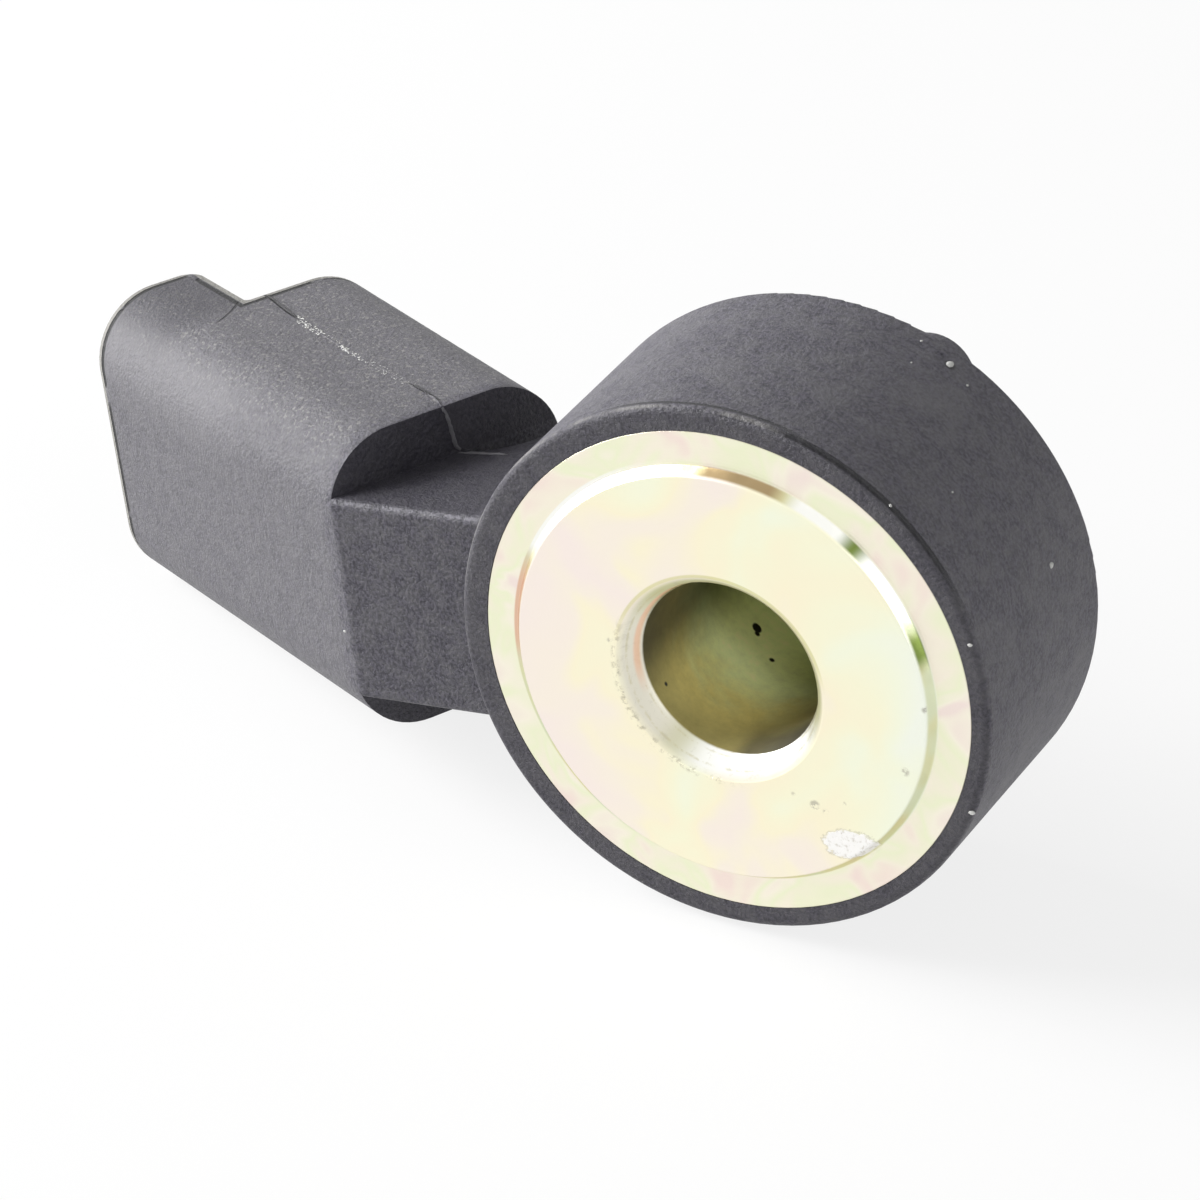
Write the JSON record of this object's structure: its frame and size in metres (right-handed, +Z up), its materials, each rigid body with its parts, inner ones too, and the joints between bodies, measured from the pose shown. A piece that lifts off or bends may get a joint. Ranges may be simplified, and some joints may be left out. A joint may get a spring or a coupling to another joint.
{
  "type": "knock sensor",
  "caption": "Ring-shaped engine knock sensor with a steel bolt sleeve and an angled two-pin plug socket on a plastic arm.",
  "frame": {"origin": "centre of the bolt bore at the seat face that bears on the engine block", "axes": "-Y out of the seat face towards the engine block, +Y along the bolt bore towards the bolt's head, -X towards the plug socket, +Z up with the sensor lying on the side of its ring and the lower edge of its socket, which turns the arm 7.6 degrees below the X axis at its socket end"},
  "size_m": [0.0536, 0.0229, 0.0257],
  "materials": {
    "moulding": "fine-grained, matte",
    "sleeve": "zinc plated, yellow passivated, fine turned",
    "insulating_tube": "smooth",
    "lower_insulating_disc": "smooth film",
    "lower_contact_ring": "stamped, dull",
    "piezo_ring": "fired ceramic, matte",
    "upper_contact_ring": "stamped, dull",
    "upper_insulating_disc": "smooth film",
    "seismic_mass": "turned",
    "disc_spring": "hardened, oiled",
    "ring_nut": "turned, zinc plated",
    "lower_terminal": "tinned, dull",
    "upper_terminal": "tinned, dull",
    "terminal_carrier": "smooth moulded",
    "resistor_body": "lacquered",
    "resistor_end_caps": "tinned",
    "resistor_leads": "tinned wire"
  },
  "bodies": {
    "root": {"housing": "moulding", "mounting_sleeve": "sleeve", "insulating_tube": "insulating_tube", "lower_insulating_disc": "lower_insulating_disc", "lower_contact_ring": "lower_contact_ring", "piezo_ring": "piezo_ring", "upper_contact_ring": "upper_contact_ring", "upper_insulating_disc": "upper_insulating_disc", "seismic_mass": "seismic_mass", "disc_spring": "disc_spring", "ring_nut": "ring_nut", "lower_terminal": "lower_terminal", "upper_terminal": "upper_terminal", "terminal_carrier": "terminal_carrier", "resistor_body": "resistor_body", "resistor_end_caps": "resistor_end_caps", "resistor_leads": "resistor_leads"}
  },
  "joints": []
}
